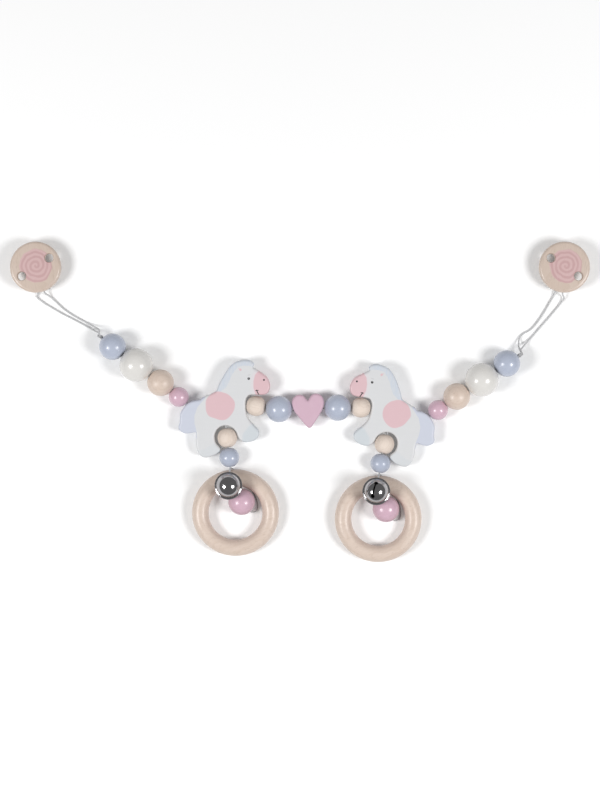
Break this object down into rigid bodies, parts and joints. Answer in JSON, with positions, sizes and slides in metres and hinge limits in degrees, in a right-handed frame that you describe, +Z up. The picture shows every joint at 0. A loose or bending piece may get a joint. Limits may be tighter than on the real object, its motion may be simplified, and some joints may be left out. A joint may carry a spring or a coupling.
{
  "type": "pram chain toy",
  "caption": "Pram chain toy of wooden beads, two toy horses and a heart, with clips at its ends and rings with bells that dangle.",
  "frame": {"origin": "middle of the base of the box round the laid-out toy, on the surface it lies on", "axes": "+X along the toy from the left clip to the right clip, +Y from the rings towards the clips, +Z up from the surface"},
  "size_m": [0.432, 0.239, 0.0331],
  "materials": {
    "blue_lacquer": "glossy pale blue lacquer over turned wood",
    "pink_lacquer": "glossy pink lacquer over turned wood",
    "white_lacquer": "glossy white lacquer over turned wood",
    "clear_wood": "clear-lacquered pale wood",
    "raw_wood": "raw pale wood, matte",
    "horse_paint": "satin off-white paint with pale blue and pink markings over plywood",
    "heart_paint": "matte dusty pink paint over wood",
    "bell_metal": "polished nickel plate",
    "clip_steel": "plated sheet steel",
    "clip_plastic": "white moulded plastic",
    "cord": "pale grey braided polyester cord"
  },
  "bodies": {
    "heart": {"heart": "heart_paint", "heart_cord": "cord"},
    "left_blue_inner_cord": {"left_blue_inner_cord": "cord"},
    "left_blue_inner_bead": {"left_blue_inner_bead": "blue_lacquer"},
    "left_chest_cord": {"left_chest_cord": "cord"},
    "left_chest_bead": {"left_chest_bead": "raw_wood"},
    "left_horse": {"left_horse": "horse_paint", "left_horse_cord": "cord"},
    "left_pink_cord": {"left_pink_cord": "cord"},
    "left_pink_bead": {"left_pink_bead": "pink_lacquer"},
    "left_natural_cord": {"left_natural_cord": "cord"},
    "left_natural_bead": {"left_natural_bead": "clear_wood"},
    "left_white_cord": {"left_white_cord": "cord"},
    "left_white_bead": {"left_white_bead": "white_lacquer"},
    "left_blue_outer_cord": {"left_blue_outer_cord": "cord"},
    "left_blue_outer_bead": {"left_blue_outer_bead": "blue_lacquer"},
    "left_end_loop": {"left_end_loop": "cord"},
    "left_clip": {"left_clip_disc": "clear_wood", "left_clip_plate": "clip_steel", "left_clip_pad": "clip_plastic", "left_clip_pin": "clip_steel"},
    "left_clip_lever": {"left_clip_lever": "clip_steel"},
    "left_dangle": {"left_dangle_cord": "cord"},
    "left_dangle_natural_bead": {"left_dangle_natural_bead": "raw_wood"},
    "left_dangle_blue_bead": {"left_dangle_blue_bead": "blue_lacquer"},
    "left_ring_loop": {"left_ring_loop": "cord"},
    "left_ring": {"left_ring": "clear_wood"},
    "left_bell": {"left_bell_upper_shell": "bell_metal", "left_bell_lower_shell": "bell_metal"},
    "left_bell_pellet": {"left_bell_pellet": "bell_metal"},
    "left_ring_bead": {"left_ring_bead": "pink_lacquer"},
    "right_blue_inner_cord": {"right_blue_inner_cord": "cord"},
    "right_blue_inner_bead": {"right_blue_inner_bead": "blue_lacquer"},
    "right_chest_cord": {"right_chest_cord": "cord"},
    "right_chest_bead": {"right_chest_bead": "raw_wood"},
    "right_horse": {"right_horse": "horse_paint", "right_horse_cord": "cord"},
    "right_pink_cord": {"right_pink_cord": "cord"},
    "right_pink_bead": {"right_pink_bead": "pink_lacquer"},
    "right_natural_cord": {"right_natural_cord": "cord"},
    "right_natural_bead": {"right_natural_bead": "clear_wood"},
    "right_white_cord": {"right_white_cord": "cord"},
    "right_white_bead": {"right_white_bead": "white_lacquer"},
    "right_blue_outer_cord": {"right_blue_outer_cord": "cord"},
    "right_blue_outer_bead": {"right_blue_outer_bead": "blue_lacquer"},
    "right_end_loop": {"right_end_loop": "cord"},
    "right_clip": {"right_clip_disc": "clear_wood", "right_clip_plate": "clip_steel", "right_clip_pad": "clip_plastic", "right_clip_pin": "clip_steel"},
    "right_clip_lever": {"right_clip_lever": "clip_steel"},
    "right_dangle": {"right_dangle_cord": "cord"},
    "right_dangle_natural_bead": {"right_dangle_natural_bead": "raw_wood"},
    "right_dangle_blue_bead": {"right_dangle_blue_bead": "blue_lacquer"},
    "right_ring_loop": {"right_ring_loop": "cord"},
    "right_ring": {"right_ring": "clear_wood"},
    "right_bell": {"right_bell_upper_shell": "bell_metal", "right_bell_lower_shell": "bell_metal"},
    "right_bell_pellet": {"right_bell_pellet": "bell_metal"},
    "right_ring_bead": {"right_ring_bead": "pink_lacquer"}
  },
  "joints": [
    {"name": "left_blue_inner_bend", "type": "hinge", "parent": "heart", "child": "left_blue_inner_cord", "pos_m": [-0.00582, -0.00629, 0.0098], "axis": [0, 0, 1], "range_deg": [-3, 10]},
    {"name": "left_blue_inner_bead_spin", "type": "hinge", "parent": "left_blue_inner_cord", "child": "left_blue_inner_bead", "pos_m": [-0.01569, -0.00525, 0.01], "axis": [-0.9935, 0.1044, -0.0453], "continuous": true},
    {"name": "left_chest_bend", "type": "hinge", "parent": "left_blue_inner_cord", "child": "left_chest_cord", "pos_m": [-0.02556, -0.00422, 0.0089], "axis": [0, 0, -1], "range_deg": [-9, 7]},
    {"name": "left_chest_bead_spin", "type": "hinge", "parent": "left_chest_cord", "child": "left_chest_bead", "pos_m": [-0.03275, -0.00295, 0.0077], "axis": [-0.982, 0.1732, -0.0751], "continuous": true},
    {"name": "left_horse_bend", "type": "hinge", "parent": "left_chest_cord", "child": "left_horse", "pos_m": [-0.03993, -0.00168, 0.0078], "axis": [0, 0, 1], "range_deg": [-3, 8]},
    {"name": "left_pink_bend", "type": "hinge", "parent": "left_horse", "child": "left_pink_cord", "pos_m": [-0.08503, -0.00089, 0.0078], "axis": [0, 0, -1], "range_deg": [-8, 8]},
    {"name": "left_pink_bead_spin", "type": "hinge", "parent": "left_pink_cord", "child": "left_pink_bead", "pos_m": [-0.09051, 0.00387, 0.00805], "axis": [-0.749, 0.6511, 0.1229], "continuous": true},
    {"name": "left_natural_bend", "type": "hinge", "parent": "left_pink_cord", "child": "left_natural_cord", "pos_m": [-0.09599, 0.00864, 0.0096], "axis": [0, 0, 1], "range_deg": [-8, 7]},
    {"name": "left_natural_bead_spin", "type": "hinge", "parent": "left_natural_cord", "child": "left_natural_bead", "pos_m": [-0.10396, 0.01442, 0.0103], "axis": [-0.8015, 0.5823, 0.1359], "continuous": true},
    {"name": "left_white_bend", "type": "hinge", "parent": "left_natural_cord", "child": "left_white_cord", "pos_m": [-0.11192, 0.02021, 0.0123], "axis": [0, 0, -1], "range_deg": [-10, 10]},
    {"name": "left_white_bead_spin", "type": "hinge", "parent": "left_white_cord", "child": "left_white_bead", "pos_m": [-0.12196, 0.02764, 0.0125], "axis": [-0.8038, 0.5947, 0.016], "continuous": true},
    {"name": "left_blue_outer_bend", "type": "hinge", "parent": "left_white_cord", "child": "left_blue_outer_cord", "pos_m": [-0.13201, 0.03507, 0.0127], "axis": [0, 0, 1], "range_deg": [-9, 9]},
    {"name": "left_blue_outer_bead_spin", "type": "hinge", "parent": "left_blue_outer_cord", "child": "left_blue_outer_bead", "pos_m": [-0.13968, 0.04129, 0.011], "axis": [-0.7728, 0.6258, -0.1057], "continuous": true},
    {"name": "left_end_loop_swing", "type": "hinge", "parent": "left_blue_outer_cord", "child": "left_end_loop", "pos_m": [-0.14964, 0.04935, 0.01029], "axis": [0, 0, 1], "range_deg": [-12, 12]},
    {"name": "left_clip_swing", "type": "hinge", "parent": "left_end_loop", "child": "left_clip", "pos_m": [-0.1946, 0.08696, 0.0034], "axis": [0, 0, 1], "range_deg": [-10, 10]},
    {"name": "left_clip_lever_turn", "type": "hinge", "parent": "left_clip", "child": "left_clip_lever", "pos_m": [-0.19804, 0.10646, 0.0025], "axis": [0.9848, 0.1736, 0], "range_deg": [0, 80]},
    {"name": "left_dangle_swing", "type": "hinge", "parent": "left_horse", "child": "left_dangle", "pos_m": [-0.05515, -0.01949, 0.0062], "axis": [0.9936, 0.1132, 0], "range_deg": [-25, 25]},
    {"name": "left_dangle_natural_bead_spin", "type": "hinge", "parent": "left_dangle", "child": "left_dangle_natural_bead", "pos_m": [-0.05432, -0.02677, 0.0075], "axis": [0.1124, -0.9869, 0.1153], "continuous": true},
    {"name": "left_dangle_blue_bead_spin", "type": "hinge", "parent": "left_dangle", "child": "left_dangle_blue_bead", "pos_m": [-0.05271, -0.04132, 0.0086], "axis": [0.1063, -0.9943, 0], "continuous": true},
    {"name": "left_ring_loop_swing", "type": "hinge", "parent": "left_dangle", "child": "left_ring_loop", "pos_m": [-0.05218, -0.04629, 0.0086], "axis": [0, 0, 1], "range_deg": [-8, 8]},
    {"name": "left_ring_turn", "type": "hinge", "parent": "left_ring_loop", "child": "left_ring", "pos_m": [-0.04816, -0.08257, 0.007], "axis": [0.0032, -0.0322, 0.9995], "continuous": true},
    {"name": "left_bell_swing", "type": "hinge", "parent": "left_ring_loop", "child": "left_bell", "pos_m": [-0.05279, -0.06334, 0.0134], "axis": [0.0993, -0.9951, 0], "range_deg": [-8, 20]},
    {"name": "left_bell_pellet_rattle", "type": "slide", "parent": "left_bell", "child": "left_bell_pellet", "axis": [0, 0, 1], "range_m": [0, 0.011]},
    {"name": "left_ring_bead_spin", "type": "hinge", "parent": "left_ring_loop", "child": "left_ring_bead", "pos_m": [-0.04355, -0.07437, 0.0103], "axis": [-0.6196, 0.6627, 0.4206], "continuous": true},
    {"name": "right_blue_inner_bend", "type": "hinge", "parent": "heart", "child": "right_blue_inner_cord", "pos_m": [0.01822, -0.00461, 0.0098], "axis": [0, 0, 1], "range_deg": [-8, 10]},
    {"name": "right_blue_inner_bead_spin", "type": "hinge", "parent": "right_blue_inner_cord", "child": "right_blue_inner_bead", "pos_m": [0.02813, -0.00418, 0.01], "axis": [0.998, 0.0436, -0.0453], "continuous": true},
    {"name": "right_chest_bend", "type": "hinge", "parent": "right_blue_inner_cord", "child": "right_chest_cord", "pos_m": [0.03805, -0.00374, 0.0089], "axis": [0, 0, -1], "range_deg": [-7, 9]},
    {"name": "right_chest_bead_spin", "type": "hinge", "parent": "right_chest_cord", "child": "right_chest_bead", "pos_m": [0.04534, -0.00413, 0.0077], "axis": [0.9958, -0.0522, -0.0751], "continuous": true},
    {"name": "right_horse_bend", "type": "hinge", "parent": "right_chest_cord", "child": "right_horse", "pos_m": [0.05263, -0.00451, 0.0078], "axis": [0, 0, 1], "range_deg": [-8, 3]},
    {"name": "right_pink_bend", "type": "hinge", "parent": "right_horse", "child": "right_pink_cord", "pos_m": [0.09734, -0.01039, 0.0078], "axis": [0, 0, -1], "range_deg": [-8, 8]},
    {"name": "right_pink_bead_spin", "type": "hinge", "parent": "right_pink_cord", "child": "right_pink_bead", "pos_m": [0.10307, -0.00592, 0.00805], "axis": [0.782, 0.611, 0.1229], "continuous": true},
    {"name": "right_natural_bend", "type": "hinge", "parent": "right_pink_cord", "child": "right_natural_cord", "pos_m": [0.10879, -0.00145, 0.0096], "axis": [0, 0, 1], "range_deg": [-8, 8]},
    {"name": "right_natural_bead_spin", "type": "hinge", "parent": "right_natural_cord", "child": "right_natural_bead", "pos_m": [0.11685, 0.0042, 0.0103], "axis": [0.8116, 0.5683, 0.1359], "continuous": true},
    {"name": "right_white_bend", "type": "hinge", "parent": "right_natural_cord", "child": "right_white_cord", "pos_m": [0.12491, 0.00984, 0.0123], "axis": [0, 0, -1], "range_deg": [-10, 10]},
    {"name": "right_white_bead_spin", "type": "hinge", "parent": "right_white_cord", "child": "right_white_bead", "pos_m": [0.13539, 0.01665, 0.0125], "axis": [0.8386, 0.5446, 0.016], "continuous": true},
    {"name": "right_blue_outer_bend", "type": "hinge", "parent": "right_white_cord", "child": "right_blue_outer_cord", "pos_m": [0.14587, 0.02345, 0.0127], "axis": [0, 0, 1], "range_deg": [-9, 9]},
    {"name": "right_blue_outer_bead_spin", "type": "hinge", "parent": "right_blue_outer_cord", "child": "right_blue_outer_bead", "pos_m": [0.15416, 0.02883, 0.011], "axis": [0.834, 0.5416, -0.1057], "continuous": true},
    {"name": "right_end_loop_swing", "type": "hinge", "parent": "right_blue_outer_cord", "child": "right_end_loop", "pos_m": [0.1649, 0.03581, 0.01029], "axis": [0, 0, 1], "range_deg": [-12, 12]},
    {"name": "right_clip_swing", "type": "hinge", "parent": "right_end_loop", "child": "right_clip", "pos_m": [0.1946, 0.08696, 0.0034], "axis": [0, 0, 1], "range_deg": [-10, 10]},
    {"name": "right_clip_lever_turn", "type": "hinge", "parent": "right_clip", "child": "right_clip_lever", "pos_m": [0.19804, 0.10646, 0.0025], "axis": [0.9848, -0.1736, 0], "range_deg": [0, 80]},
    {"name": "right_dangle_swing", "type": "hinge", "parent": "right_horse", "child": "right_dangle", "pos_m": [0.06504, -0.02437, 0.0062], "axis": [0.9636, -0.2672, 0], "range_deg": [-25, 25]},
    {"name": "right_dangle_natural_bead_spin", "type": "hinge", "parent": "right_dangle", "child": "right_dangle_natural_bead", "pos_m": [0.06308, -0.03143, 0.0075], "axis": [-0.2655, -0.9572, 0.1153], "continuous": true},
    {"name": "right_dangle_blue_bead_spin", "type": "hinge", "parent": "right_dangle", "child": "right_dangle_blue_bead", "pos_m": [0.06001, -0.04572, 0.0086], "axis": [-0.1521, -0.9884, 0], "continuous": true},
    {"name": "right_ring_loop_swing", "type": "hinge", "parent": "right_dangle", "child": "right_ring_loop", "pos_m": [0.05925, -0.05066, 0.0086], "axis": [0, 0, 1], "range_deg": [-8, 8]},
    {"name": "right_ring_turn", "type": "hinge", "parent": "right_ring_loop", "child": "right_ring", "pos_m": [0.05838, -0.08715, 0.007], "axis": [-0.0011, -0.0324, 0.9995], "continuous": true},
    {"name": "right_bell_swing", "type": "hinge", "parent": "right_ring_loop", "child": "right_bell", "pos_m": [0.05636, -0.06747, 0.0134], "axis": [-0.0349, -0.9994, 0], "range_deg": [-8, 20]},
    {"name": "right_bell_pellet_rattle", "type": "slide", "parent": "right_bell", "child": "right_bell_pellet", "axis": [0, 0, 1], "range_m": [0, 0.011]},
    {"name": "right_ring_bead_spin", "type": "hinge", "parent": "right_ring_loop", "child": "right_ring_bead", "pos_m": [0.06405, -0.07964, 0.0103], "axis": [-0.5252, 0.7398, 0.4206], "continuous": true}
  ]
}
